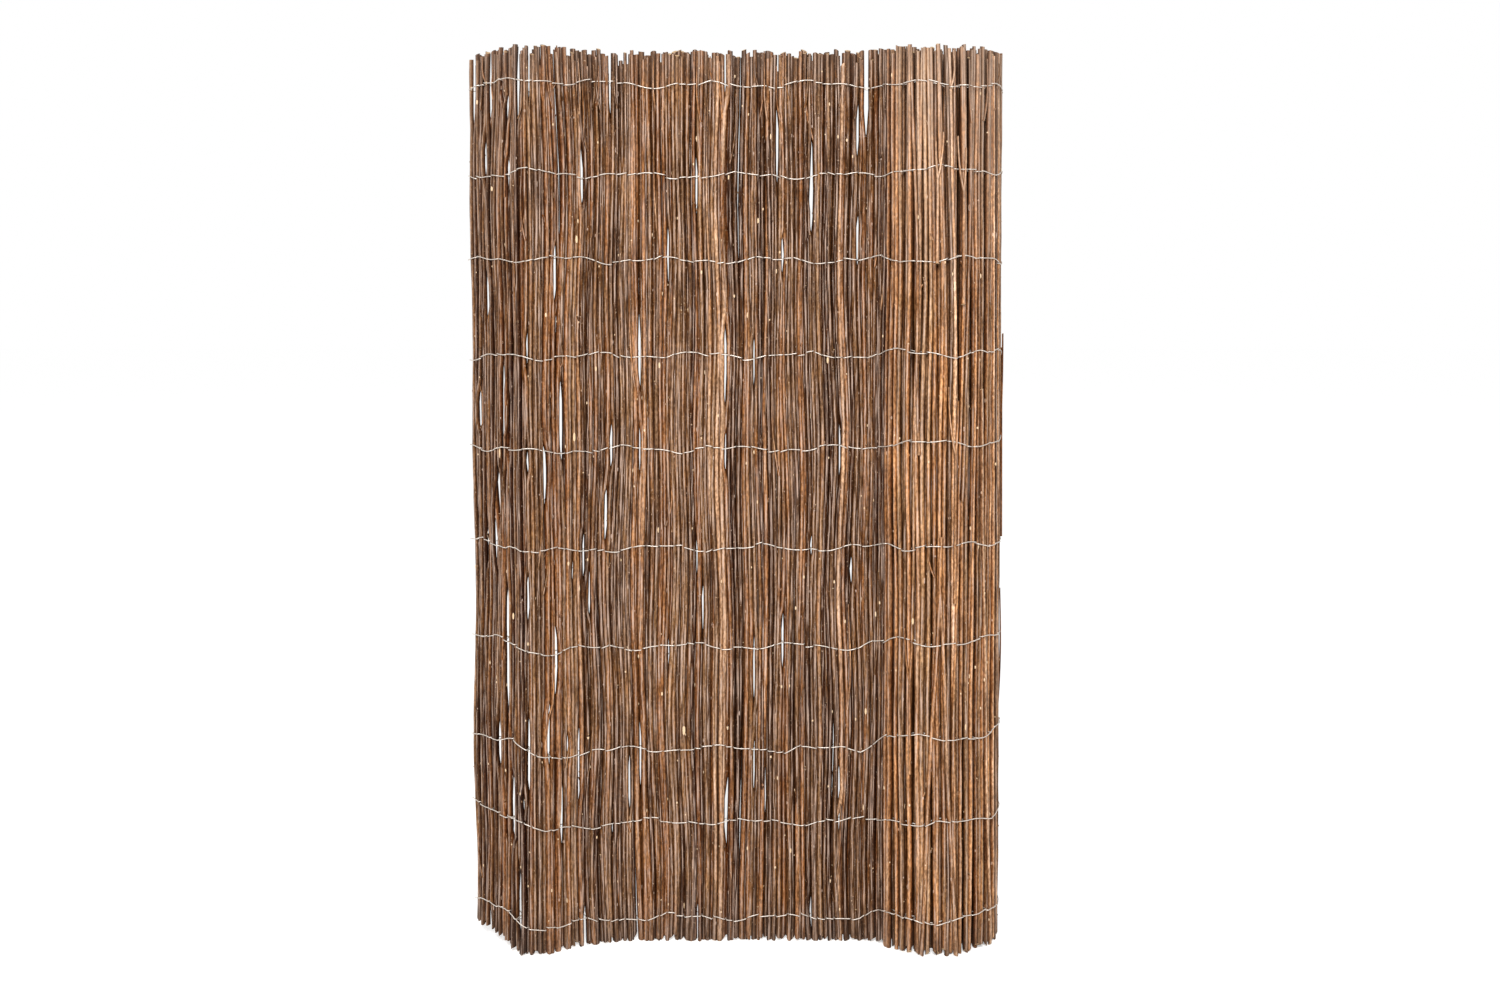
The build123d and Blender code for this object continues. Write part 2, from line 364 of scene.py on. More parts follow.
def place_at(station):
    """The place at this distance along the mat, on the open stretch or on the spiral."""
    if station <= OPEN_LENGTH:
        return mat_place(station)
    rolled = station - OPEN_LENGTH
    radius = sqrt(max(ROLL_RADIUS**2 - rolled * TURN_PITCH / pi, CORE_RADIUS**2))
    heading = LEAVING[2] + (ROLL_RADIUS - radius) * 2 * pi / TURN_PITCH
    return ROLL_AXIS[0] + radius * sin(heading), ROLL_AXIS[1] - radius * cos(heading), heading


def axes(station):
    """Middle point, direction along the mat and direction out of its front, at a station."""
    x, y, heading = place_at(station)
    along = np.array((cos(heading), sin(heading), 0.0))
    out = np.array((sin(heading), -cos(heading), 0.0))
    return np.array((x, y, 0.0)), along, out


# Rods

@dataclass
class Rod:
    """One willow rod: its place in the mat, its thickness, ends and colour, and how it bends."""
    station: float
    radius: float
    foot: float
    top: float
    hue: float              # 0 dark brown to 1 pale tan
    shade: float            # 0 dark to 1 light; painted shade lowers it in the hollow, behind the front row and on covered turns
    lean: float             # sideways, from foot to top
    out: float              # how far it stands out of the mat's front
    waves: tuple            # its own slow bends, as own_waves gives them
    taper: float = 0.2      # how much thinner it is at its top
    detail: bool = True     # false where the roll covers it

    @property
    def colour(self):
        return self.hue, self.shade

    def free_line(self, heights):
        """Sideways and outward offsets of the rod's middle at these heights, before gaps push it aside."""
        middle = (self.foot + self.top) / 2
        aside = self.lean * (heights - middle) / (self.top - self.foot)
        out = np.full_like(heights, self.out)
        for size, length, phase, turn in self.waves:
            wave = size * np.sin(2 * pi * heights / length + phase)
            aside = aside + wave * cos(turn)
            out = out + wave * sin(turn)
        return aside + mat_sway(self.station, heights) + top_lean(self.station, heights), out

    def line(self, heights):
        """Sideways and outward offsets of the rod's middle at these heights, with the gaps kept open."""
        aside, out = self.free_line(heights)
        seen = self.seen_at(aside, out)
        for side, middle, height, half, room in self.gaps:
            window = np.clip(GAP_ENDS * (1 - ((heights - height) / half) ** 2), 0, 1)
            aside = aside + side * np.clip(room - side * (seen - middle), 0, None) * window
        return aside, out

    def seen_at(self, aside, out):
        """The station at which the rod's middle shows, seen from the camera's place."""
        return self.station + aside + out * tan(self.slant)

    @cached_property
    def slant(self):
        """How far the mat beside this rod is turned from facing the camera's place."""
        x, y, heading = place_at(self.station)
        return heading + atan2(x - EYE[0], y - EYE[1])

    @cached_property
    def gaps(self):
        """Gaps near this rod: (side it keeps to, station, middle height, half height, room it leaves)."""
        if self.station > OPEN_LENGTH:
            return []
        near = []
        for middle, height, half, width in GAPS:
            if abs(self.station - middle) < GAP_NEAR:
                aside, out = self.free_line(np.array((height,)))
                side = 1 if self.seen_at(aside[0], out[0]) > middle else -1
                room = (self.radius + width / 2) / cos(self.slant)
                near.append((side, middle, height, half, room))
        return near

    def thickness(self, heights):
        """The rod's radius at these heights: a slight taper and soft swellings."""
        share = 1 + self.taper * (0.5 - (heights - self.foot) / (self.top - self.foot))
        for size, waves, shift in SWELLINGS:
            share = share + size * np.sin(heights * waves + self.station * shift)
        return self.radius * share

    def points(self, heights):
        """Middle points of the rod at these heights."""
        middle, along, out = axes(self.station)
        aside, outward = self.line(heights)
        line = middle + aside[:, None] * along + outward[:, None] * out
        line[:, 2] = heights
        return line

    def centre(self, height):
        """Middle point of the rod at one height."""
        return self.points(np.array((height,)))[0]

    def radius_at(self, height):
        """The rod's radius at one height."""
        return self.thickness(np.array((height,)))[0]


def mat_sway(station, heights):
    """How far neighbouring rods sway together."""
    total = np.zeros_like(heights)
    for along, up, phase, rise in SWAY:
        total += sin(2 * pi * station / along + phase) * np.sin(2 * pi * heights / up + rise)
    return np.interp(station, (OPEN_LENGTH - SWAY_FADE, OPEN_LENGTH), SWAY_SIZE) * total


def top_lean(station, heights):
    """How far the rods on the roll's front lean together near their tops, from both sides."""
    turned = (station - OPEN_LENGTH) / ROLL_RADIUS
    rise = np.clip((heights - LEAN_FOOT) / LEAN_RISE, 0, 1) ** LEAN_CURVE
    leans = [lean * np.exp(-((turned - angle) / spread) ** 2) for lean, angle, spread in TOP_LEANS]
    return rise * sum(leans)


def cad_gap_spots():
    """Gaps of the CAD model: the number of the rod before each, and the gap's lower and upper ends."""
    chance = Random(7)
    spots = []
    for row, height in enumerate(CAD_ROWS):
        first = CAD_FIRST_CROSSING + row * CAD_CROSSING_SHIFT % CAD_SPAN
        for number in range(first, CAD_RODS - CAD_LAST_RODS, CAD_SPAN):
            low = height - chance.uniform(*GAP_REACH)
            spots.append((number, low, height + chance.uniform(*GAP_REACH)))
    for _ in range(SLIT_COUNT):
        tall = chance.uniform(*SLIT_HEIGHT)
        low = chance.uniform(*SLIT_ROOM)
        spots.append((chance.randrange(CAD_RODS - 1), low, low + tall))
    return spots


def see_through_gaps():
    """All gaps as (station, middle height, half height, width), the CAD model's last."""
    gaps = [(OPEN_LENGTH - before, *gap) for before, *gap in HOLLOW_GAPS]
    gaps += [(*gap, STRIP_GAP_WIDTH) for gap in STRIP_GAPS]
    gaps += [(station, *STRIP_TOP_GAP) for station in STRIP_TOP_STATIONS]
    chance = Random(8)
    for number, low, high in cad_gap_spots():
        station = CAD_ROD / 2 + (number + 0.5) * CAD_PITCH
        gaps.append((station, (low + high) / 2, (high - low) / 2, chance.uniform(*GAP_WIDTH)))
    return gaps


GAPS = see_through_gaps()


def own_waves(chance, size, depth=0.0):
    """A rod's own slow bends, as (size, length, phase, direction); a depth adds one in and out."""
    lengths = [chance.uniform(*limits) for limits in OWN_LENGTHS]
    waves = []
    for length in lengths:
        bend = length * size * chance.uniform(*OWN_SIZES)
        waves.append((bend, length, chance.uniform(*ANY_PHASE), chance.uniform(*ANY_PHASE)))
    if depth:
        bend = depth * chance.uniform(*DEPTH_SIZES)
        waves.append((bend, chance.uniform(*DEPTH_LENGTHS), chance.uniform(*ANY_PHASE), pi / 2))
    return tuple(waves)


def ragged(chance, station):
    """Foot and top heights of a rod; rods of the end strip stop short of the floor."""
    wing = 1 - min(station / WING_WIDTH, 1.0) ** 3
    foot = WING_FOOT * wing + max(0.0, chance.uniform(*FOOT_RANGE))
    spread = BOW_TOP_SPREAD if WING_WIDTH < station < FLAT_START else TOP_SPREAD
    top = HIGHEST - TOP_ROOM - WING_DROP * wing - abs(chance.gauss(0, spread))
    return foot, top


def bark(chance, sorts):
    """Hue and shade of a rod, from one of the sorts of bark."""
    _, hues, shades = chance.choices(sorts, weights=[share for share, *_ in sorts])[0]
    return chance.uniform(*hues), chance.uniform(*shades)


def painted_shade(station):
    """How much painted shade darkens the rods here: somewhat on the end strip, most in the hollow by the
    roll.
    """
    wing = np.clip((WING_SHADE_END - station) / WING_SHADE_FADE, 0, 1)
    hollow = np.clip(HOLLOW_SHADE * (1 - abs(station - HOLLOW_MIDDLE) / HOLLOW_REACH), 0, 1)
    return float(max(wing * WING_SHADE, hollow))


def mat_rods(chance):
    """Rods of the open mat: an uneven front row, and thicker ones behind where two of it meet, darker with
    painted shade.
    """
    rods = []
    station, radius = FIRST_STATION, FIRST_RADIUS
    while station < OPEN_LENGTH:
        foot, top = ragged(chance, station)
        # Painted shade: rods in the hollow by the roll and on the end strip are darkened
        dim = painted_shade(station)
        hue, shade = bark(chance, MAT_BARK)
        rods.append(Rod(
            station, radius, foot, top, hue * (1 - DIM_HUE * dim), shade * (1 - MAT_DIM * dim),
            lean=chance.gauss(0, MAT_LEAN) * min(station / STRAIGHT_END, 1),
            out=chance.gauss(*STAND_OUT),
            taper=chance.gauss(*MAT_TAPER),
            waves=own_waves(chance, MAT_WAVES, MAT_DEPTH),
        ))
        following = chance.triangular(*ROD_RADIUS, MAT_USUAL_RADIUS)
        spacing = (radius + following) * chance.uniform(*MAT_CROWDING)
        meeting = station + spacing * radius / (radius + following)
        foot, top = ragged(chance, station)
        rods.append(Rod(
            meeting, chance.uniform(*BACK_RADIUS), foot, top,
            chance.triangular(*BACK_HUE), chance.uniform(*BACK_SHADE),
            lean=chance.gauss(0, BACK_LEAN),
            out=BEHIND,
            taper=0.0,
            waves=own_waves(chance, BACK_WAVES),
        ))
        station, radius = station + spacing, following
    return rods, station


def roll_rods(chance, station):
    """Rods of the roll, from the outer turn to the core."""
    rods = []
    while station < FENCE_LENGTH - CORE_ROOM:
        covered = station > OUTER_TURN
        radius = chance.triangular(*ROD_RADIUS, ROLL_USUAL_RADIUS)
        foot, top = ragged(chance, station)
        # Painted shade: rods in the hollow by the roll are darkened, and the covered turns more
        dim = painted_shade(station)
        hue, shade = bark(chance, ROLL_BARK)
        shade *= COVERED_SHADE if covered else 1 - ROLL_DIM * dim
        rods.append(Rod(
            station, radius, foot, top, hue * (1 - DIM_HUE * dim), shade,
            lean=chance.gauss(0, ROLL_LEAN),
            out=chance.gauss(*STAND_OUT),
            taper=chance.gauss(*ROLL_TAPER),
            detail=not covered,
            waves=() if covered else own_waves(chance, ROLL_WAVES),
        ))
        station += radius * 2 * chance.uniform(*(COVERED_CROWDING if covered else ROLL_CROWDING))
    return rods


def loose_rods():
    """Rods that lie over the roll's outer turn, leaning across their neighbours."""
    chance = Random(21)
    rods = []
    for turned, foot, top, lean in LOOSE_RODS:
        wave = (LOOSE_WAVE_SIZE, LOOSE_WAVE_LENGTH, chance.uniform(*ANY_PHASE), LOOSE_WAVE_TURN)
        rods.append(Rod(
            OPEN_LENGTH + ROLL_RADIUS * turned, chance.uniform(*LOOSE_RADIUS), foot, top,
            chance.uniform(*LOOSE_HUE), chance.random(),
            lean=lean,
            out=LOOSE_OUT,
            waves=(wave,),
        ))
    return rods


# Meshes

class Bundle:
    """Collects tubes and scars into one mesh; each point has a tint of hue, shade, kind and openness."""
    BARK, SCAR, CUT = 0.0, 0.5, 1.0

    def __init__(self):
        self.points = []
        self.faces = []
        self.tints = []
        self.count = 0

    def add(self, points, faces, colour, kind, openness):
        """Adds points with their faces and tints."""
        self.points.append(points)
        self.faces += [tuple(self.count + index for index in face) for face in faces]
        tints = np.empty((len(points), 4), dtype=np.float32)
        tints[:, :2] = colour
        tints[:, 2] = kind
        tints[:, 3] = openness
        self.tints.append(tints)
        self.count += len(points)

    def tube(self, line, radii, along, out, sides, colour, slants):
        """A round tube along a line, with its ends cut at a slant and capped."""
        hue, shade = colour
        turns = np.linspace(0, 2 * pi, sides, endpoint=False)
        ring = np.cos(turns)[:, None] * along + np.sin(turns)[:, None] * out
        rings = line[:, None, :] + radii[:, None, None] * ring[None]
        rings[0, :, 2] += slants[0] * radii[0] * np.cos(turns + shade * CUT_TURN)
        rings[-1, :, 2] += slants[1] * radii[-1] * np.cos(turns + hue * CUT_TURN)
        rings[:, :, 2] = np.clip(rings[:, :, 2], FLOOR_ROOM, HIGHEST)
        faces = []
        for row in range(len(line) - 1):
            low, high = row * sides, (row + 1) * sides
            for side in range(sides):
                following = (side + 1) % sides
                faces.append((low + side, low + following, high + following, high + side))
        # Openness is 1 on the rod's front and back crests and 0 on its flanks; the bark's painted shade and
        # highlight follow it
        openness = np.tile(np.abs(np.sin(turns)), len(line))
        self.add(rings.reshape(-1, 3), faces, colour, self.BARK, openness)
        fan = tuple(range(sides))
        self.add(rings[0], [fan[::-1]], colour, self.CUT, 1.0)
        self.add(rings[-1], [fan], colour, self.CUT, 1.0)

    def finish(self, name, material):
        """Makes the mesh object, smooth along the tubes, riding on the fence."""
        mesh = bpy.data.meshes.new(name)
        mesh.from_pydata(np.concatenate(self.points).tolist(), [], self.faces)
        mesh.shade_smooth()
        tints = mesh.color_attributes.new("tint", "FLOAT_COLOR", "POINT")
        tints.data.foreach_set("color", np.concatenate(self.tints).ravel())
        piece = bpy.data.objects.new(name, mesh)
        bpy.context.scene.collection.objects.link(piece)
        mesh.materials.append(material)
        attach(piece, "root")
        return piece


def add_rod(bundle, rod, chance):
    """One rod as a tube: many rings in the front row, fewer behind it and where the roll covers it."""
    rings, sides = SEEN_TUBE if rod.detail else COVERED_TUBE
    if rod.out == BEHIND:
        rings, sides = BACK_TUBE
    _, along, out = axes(rod.station)
    slants = (chance.uniform(*FOOT_SLANT), chance.uniform(*TOP_SLANT))
    foot_room = max(0.0, slants[0] * rod.radius - rod.foot)
    lift = foot_room * (1 - np.linspace(0, 1, rings)) ** FOOT_EASE
    heights = np.linspace(rod.foot, rod.top, rings) + lift
    bundle.tube(rod.points(heights), rod.thickness(heights), along, out, sides, rod.colour, slants)


def add_scar(bundle, rod, height, turn, size, pale, chance):
    """A bud scar: a low bump on the rod's side."""
    centre = rod.centre(height)
    radius = rod.radius_at(height)
    _, along, out = axes(rod.station)
    facing = cos(turn) * along + sin(turn) * out
    across = -sin(turn) * along + cos(turn) * out
    length = size * chance.uniform(*SCAR_LENGTH)
    width = sqrt(size) * chance.uniform(*SCAR_WIDTH)
    top = centre + facing * (radius + chance.uniform(*SCAR_RISE))
    points = [top + np.array((0, 0, length * SCAR_PEAK))]
    for step in range(SCAR_SIDES):
        angle = 2 * pi * step / SCAR_SIDES
        rim = centre + facing * (radius * SCAR_SEAT) + across * width * cos(angle)
        points.append(rim + np.array((0, 0, length * sin(angle))))
    faces = [(0, 1 + step, 1 + (step + 1) % SCAR_SIDES) for step in range(SCAR_SIDES)]
    kind = Bundle.SCAR if pale else Bundle.BARK
    bundle.add(np.array(points), faces, rod.colour, kind, 1.0)


def add_stub(bundle, rod, height, turn, chance):
    """A side twig cut off short, with a pale end."""
    _, along, out = axes(rod.station)
    facing = cos(turn) * along + sin(turn) * out
    length = chance.uniform(*STUB_LENGTH)
    steps = np.linspace(0, 1, STUB_RINGS)
    reach = rod.radius * STUB_SEAT + STUB_REACH * length * steps[:, None] ** STUB_CURVE
    line = rod.centre(height) + facing * reach
    line[:, 2] = height + length * steps
    radii = np.linspace(STUB_ROOT, chance.uniform(*STUB_TIP), STUB_RINGS)
    bundle.tube(line, radii, along, out, TWIG_SIDES, rod.colour, TWIG_SLANTS)


def add_shoot(bundle, rod, height, length, aside):
    """A thin shoot that leaves a rod and runs up in front of its neighbours."""
    steps = np.linspace(0, 1, SHOOT_RINGS)
    _, along, out = axes(rod.station)
    line = rod.points(height + length * steps)
    parting = 1 - (1 - np.minimum(steps / SHOOT_PARTING, 1)) ** 2
    line += aside * parting[:, None] * along
    line += (rod.radius * SHOOT_SEAT + SHOOT_BOW * np.sin(steps * pi))[:, None] * out
    radii = np.linspace(*SHOOT_RADII, SHOOT_RINGS)
    colour = (min(rod.hue + SHOOT_HUE, 1.0), max(rod.shade, SHOOT_SHADE))
    bundle.tube(line, radii, along, out, TWIG_SIDES, colour, TWIG_SLANTS)


def either_side(chance, limits):
    """A distance within limits, to the left or to the right."""
    return chance.choice((-1, 1)) * chance.uniform(*limits)


def add_side_shoot(bundle, rod, chance):
    """A shoot somewhere along a rod, if it fits there."""
    length = chance.uniform(*SIDE_SHOOT_LENGTH)
    highest = max(rod.top - length - SIDE_SHOOT_TOP_ROOM, rod.foot + SIDE_SHOOT_LEAST)
    low = chance.uniform(rod.foot + SIDE_SHOOT_LOWEST, highest)
    if low + length < rod.top:
        add_shoot(bundle, rod, low, length, either_side(chance, SIDE_SHOOT_ASIDE))


def add_tip_shoot(bundle, rod, chance):
    """A shoot that ends near a rod's top."""
    low = rod.top - chance.uniform(*TIP_SHOOT_START)
    tip = min(rod.top + chance.uniform(*TIP_SHOOT_END), HIGHEST - TIP_ROOM)
    add_shoot(bundle, rod, low, tip - low, either_side(chance, TIP_SHOOT_ASIDE))


def add_growth(bundle, rods):
    """Bud scars, stubs and shoots on every rod that is seen."""
    chance = Random(31)
    for rod in rods:
        height = rod.foot + chance.uniform(*SCAR_START)
        turn = chance.uniform(0, 2 * pi)
        while height < rod.top - SCAR_TOP_ROOM:
            pale = chance.random() < PALE_SHARE
            add_scar(bundle, rod, height, turn, chance.choice(SCAR_SIZES), pale, chance)
            if chance.random() < STUB_SHARE:
                add_stub(bundle, rod, height, turn, chance)
            turn += SCAR_TURN
            height += chance.uniform(*SCAR_STEP)
        if chance.random() < SIDE_SHOOT_SHARE:
            add_side_shoot(bundle, rod, chance)
        if chance.random() < TIP_SHOOT_SHARE and rod.top > LONG_ROD_TOP:
            add_tip_shoot(bundle, rod, chance)


def add_peeled_spots(bundle, rods):
    """Spots of bare wood where the bark has come off the front of a rod."""
    chance = Random(41)
    front = [rod for rod in rods if rod.out != BEHIND]
    for station, height in PEELED:
        nearest = min(front, key=lambda rod: abs(rod.station - station))
        add_scar(bundle, nearest, height, pi / 2, PEELED_SIZE, True, chance)


def add_fork(bundle, turned, height, stem, branch, spread):
    """A forked twig that lies on the roll: a stem, and two thinner branches that part above it."""
    middle, along, out = axes(OPEN_LENGTH + ROLL_RADIUS * turned)
    steps = np.linspace(0, 1, FORK_RINGS)
    parting = 1 - (1 - steps) ** 2
    limbs = (
        (-stem, 0.0, STEM_RADII),
        (branch, -spread, LONG_BRANCH_RADII),
        (branch * SHORT_BRANCH, spread * SHORT_SPREAD, SHORT_BRANCH_RADII),
    )
    for rise, aside, ends in limbs:
        line = middle + (aside * parting)[:, None] * along + FORK_OUT * out
        line[:, 2] = height + rise * steps
        radii = np.linspace(*ends, FORK_RINGS)
        if rise < 0:
            line, radii = line[::-1], radii[::-1]
        bundle.tube(line, radii, along, out, FORK_SIDES, FORK_COLOUR, FORK_SLANTS)


# Binding wires

def row_height(row, station):
    """A row's height along the mat and the roll, with slow waves, and raised on the end strip."""
    blend = np.clip((station - ROW_BLEND_START) / ROW_BLEND_LENGTH, 0, 1)
    height = MAT_ROWS[row] + (ROLL_ROWS[row] - MAT_ROWS[row]) * blend
    on_strip = np.clip((STRIP_LIFT_END - station) / STRIP_LIFT_FADE, 0, 1)
    lowness = max(0.0, min((UNLIFTED_ROW - MAT_ROWS[row]) / ROW_LIFT_FADE, 1.0))
    height = height + STRIP_LIFT * on_strip * lowness
    for size, length, phase in ROW_WAVES:
        height = height + size * np.sin(2 * pi * station / length + row * phase)
    return height


def crests(rods, height, stations, side):
    """How far out a wire lies on this side: over the rods under it, straight from crest to crest."""
    heights = np.array((height,))
    reach = np.zeros_like(stations)
    for rod in rods:
        if not rod.foot < height < rod.top:
            continue
        aside, out = rod.line(heights)
        radius = rod.radius_at(height)
        near = np.clip(radius**2 - (stations - rod.station - aside[0]) ** 2, 0, None)
        reach = np.maximum(reach, np.where(near > 0, side * out[0] + np.sqrt(near), 0))
    for _ in range(2):
        window = [np.roll(reach, shift) for shift in range(-WIRE_STRETCH, WIRE_STRETCH + 1)]
        reach = np.max(window, axis=0)
    soft = np.hanning(2 * WIRE_STRETCH + 1)
    return np.convolve(np.pad(reach, WIRE_STRETCH, mode="edge"), soft / soft.sum(), mode="valid")


def crossing_places(rods, chance):
    """Stations between rods of the front row at which a pair of strands changes sides."""
    stations = [rod.station for rod in rods if rod.out != BEHIND]
    places = []
    index = chance.choice(FIRST_CROSSINGS)
    while index < len(stations) - 1:
        places.append((stations[index] + stations[index + 1]) / 2)
        index += chance.choice(CROSSING_RODS)
    return places


def wire_line(rods, row, strand):
    """Points along one strand of a row: it changes sides between rods, against its partner."""
    seen = [rod for rod in rods if rod.detail]
    crossings = crossing_places(seen, Random(100 + row))
    stations = np.arange(WIRE_START, WIRE_STOP, WIRE_STEP)
    knots = [stations[0]]
    sides = [strand]
    for crossing in crossings:
        knots += [crossing - CROSSING_HALF, crossing + CROSSING_HALF]
        sides += [sides[-1], -sides[-1]]
    # The loose rods come last in the list, so past the last crossing listed a strand keeps to its side
    side = np.interp(stations, knots, sides)
    own = Random(300 + row * 2 + (strand > 0))
    drops = [own.gauss(0, WIRE_DROP) for _ in crossings]
    height = row_height(row, stations) + np.interp(stations, crossings, drops)
    front = crests(seen, MAT_ROWS[row], stations, 1) + WIRE_RADIUS * WIRE_SEAT
    back = crests(seen, MAT_ROWS[row], stations, -1) + WIRE_RADIUS * WIRE_SEAT
    outward = np.where(side > 0, front, back) * side
    line = []
    for station, offset, rise in zip(stations, outward, height):
        middle, _, out = axes(station)
        point = middle + offset * out
        point[2] = rise
        line.append(point)
    return line


def add_wire(name, lines, material):
    """The two strands of a row as round wires, in one piece."""
    curve = bpy.data.curves.new(name, "CURVE")
    curve.dimensions = "3D"
    curve.bevel_depth = WIRE_RADIUS
    curve.bevel_resolution = 1
    curve.use_fill_caps = True
    for line in lines:
        spline = curve.splines.new("POLY")
        spline.points.add(len(line) - 1)
        points = np.column_stack((np.array(line), np.ones(len(line))))
        spline.points.foreach_set("co", points.ravel())
        spline.use_smooth = True
    drawn = bpy.data.objects.new(name + "_path", curve)
    mesh = bpy.data.meshes.new_from_object(drawn)
    bpy.data.objects.remove(drawn)
    piece = bpy.data.objects.new(name, mesh)
    bpy.context.scene.collection.objects.link(piece)
    mesh.materials.append(material)
    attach(piece, "root")
    return piece


# Material nodes

def srgb(red, green, blue):
    """A colour given in 11 to 255 display values, as a linear RGBA tuple."""
    shares = [value / 255 for value in (red, green, blue)]
    return (*[((share + 0.055) / 1.055) ** 2.4 for share in shares], 1.0)


def add_node(tree, kind, inputs=None, **settings):
    """A node with its settings and inputs; an input that is a socket is linked."""
    node = tree.nodes.new(kind)
    for name, value in settings.items():
        setattr(node, name, value)
    for name, value in (inputs or {}).items():
        if isinstance(value, bpy.types.NodeSocket):
            tree.links.new(value, node.inputs[name])
        else:
            node.inputs[name].default_value = value
    return node


def maths(tree, operation, first, second):
    """The sum, product or the like of two numbers, which are sockets or values."""
    return add_node(tree, "ShaderNodeMath", {0: first, 1: second}, operation=operation).outputs[0]


def mix(tree, amount, first, second, blend="MIX"):
    """A colour mix; amount, first and second are sockets or values."""
    inputs = {0: amount, 6: first, 7: second}
    return add_node(tree, "ShaderNodeMix", inputs, data_type="RGBA", blend_type=blend).outputs[2]


def span(tree, value, low, high, to_low=0.0, to_high=1.0):
    """Maps a value from one range to another, held at the ends."""
    inputs = {"Value": value, "From Min": low, "From Max": high, "To Min": to_low, "To Max": to_high}
    return add_node(tree, "ShaderNodeMapRange", inputs).outputs["Result"]


def noise(tree, coordinates, scale, detail=3.0):
    """Noise stretched by a scale for each axis."""
    placed = add_node(tree, "ShaderNodeVectorMath", {0: coordinates, 1: scale}, operation="MULTIPLY")
    inputs = {"Vector": placed.outputs[0], "Scale": 1.0, "Detail": detail}
    return add_node(tree, "ShaderNodeTexNoise", inputs).outputs["Fac"]


def ramp(tree, value, stops):
    """A colour ramp through (position, colour) stops."""
    node = add_node(tree, "ShaderNodeValToRGB", {"Fac": value})
    marks = node.color_ramp.elements
    while len(marks) < len(stops):
        marks.new(0.5)
    for mark, (position, colour) in zip(marks, stops):
        mark.position = position
        mark.color = colour
    return node.outputs["Color"]


def uneven(tree, colour, value, low, dark, high, light):
    """A colour times a dark tone where a value is low, and times a light grey where it is high."""
    stops = ((low, (*dark, 1)), (high, (light, light, light, 1)))
    return mix(tree, 1.0, colour, ramp(tree, value, stops), "MULTIPLY")


def new_material(name):
    """An empty node material: its nodes, its main shader and itself."""
    material = bpy.data.materials.new(name)
    material.use_nodes = True
    return material.node_tree, material.node_tree.nodes["Principled BSDF"], material


# Materials

BARK_HUES = (
    (0.0, srgb(84, 57, 36)),
    (0.2, srgb(110, 86, 66)),
    (0.4, srgb(132, 103, 73)),
    (0.6, srgb(147, 105, 68)),
    (0.8, srgb(164, 124, 87)),
    (1.0, srgb(188, 159, 133)),
)
BARK_SHADES = ((0.0, (0.4, 0.28, 0.15, 1)), (0.7, (1.12, 1.12, 1.1, 1)), (1.0, (1.82, 1.95, 2.1, 1)))
# Painted shade on the rods' flanks, by openness, a little lighter on the crests
PAINTED_CREVICE_SHADE = ((0.0, (0.2, 0.1, 0.05, 1)), (0.6, (0.6, 0.48, 0.37, 1)), (0.95, (1.1, 1.1, 1.1, 1)))
SPECK = srgb(206, 176, 148)
# Painted highlight along the rods' crests
CREST_HIGHLIGHT = srgb(200, 174, 158)
FADED_WING = srgb(166, 140, 120)
FADED_ROLL = srgb(178, 157, 141)
DARK_FOOT = srgb(74, 62, 54)
GREY_TOP = srgb(118, 98, 84)
SCAR_COLOURS = (srgb(214, 176, 130), srgb(226, 204, 176))
WOOD_COLOURS = (srgb(150, 118, 86), srgb(206, 178, 140))
WIRE_COLOURS = (srgb(226, 218, 208), srgb(186, 172, 160))
FLOOR_COLOURS = (srgb(254, 254, 254), srgb(255, 255, 255))


def rod_bark(tree, where, hue, shade, patches, streaks):
    """Bark by the rod's hue and shade, uneven in spots of several sizes."""
    moved = maths(tree, "ADD", hue, span(tree, patches, 0.25, 0.75, -0.22, 0.22))
    bark = ramp(tree, moved, BARK_HUES)
    bark = mix(tree, 1.0, bark, ramp(tree, shade, BARK_SHADES), "MULTIPLY")
    mottle = noise(tree, where, (240, 240, 22))
    region = noise(tree, where, (24, 24, 10), 2.0)
    grain = noise(tree, where, (480, 480, 75), 2.0)
    flecks = noise(tree, where, (520, 520, 230), 2.0)
    bark = uneven(tree, bark, mottle, 0.3, (0.6, 0.55, 0.5), 0.7, 1.28)
    bark = uneven(tree, bark, region, 0.35, (0.76, 0.72, 0.7), 0.65, 1.16)
    bark = uneven(tree, bark, grain, 0.3, (0.72, 0.66, 0.6), 0.7, 1.22)
    bark = uneven(tree, bark, streaks, 0.3, (0.8, 0.77, 0.75), 0.7, 1.14)
    return uneven(tree, bark, flecks, 0.41, (0.64, 0.6, 0.56), 0.59, 1.24)


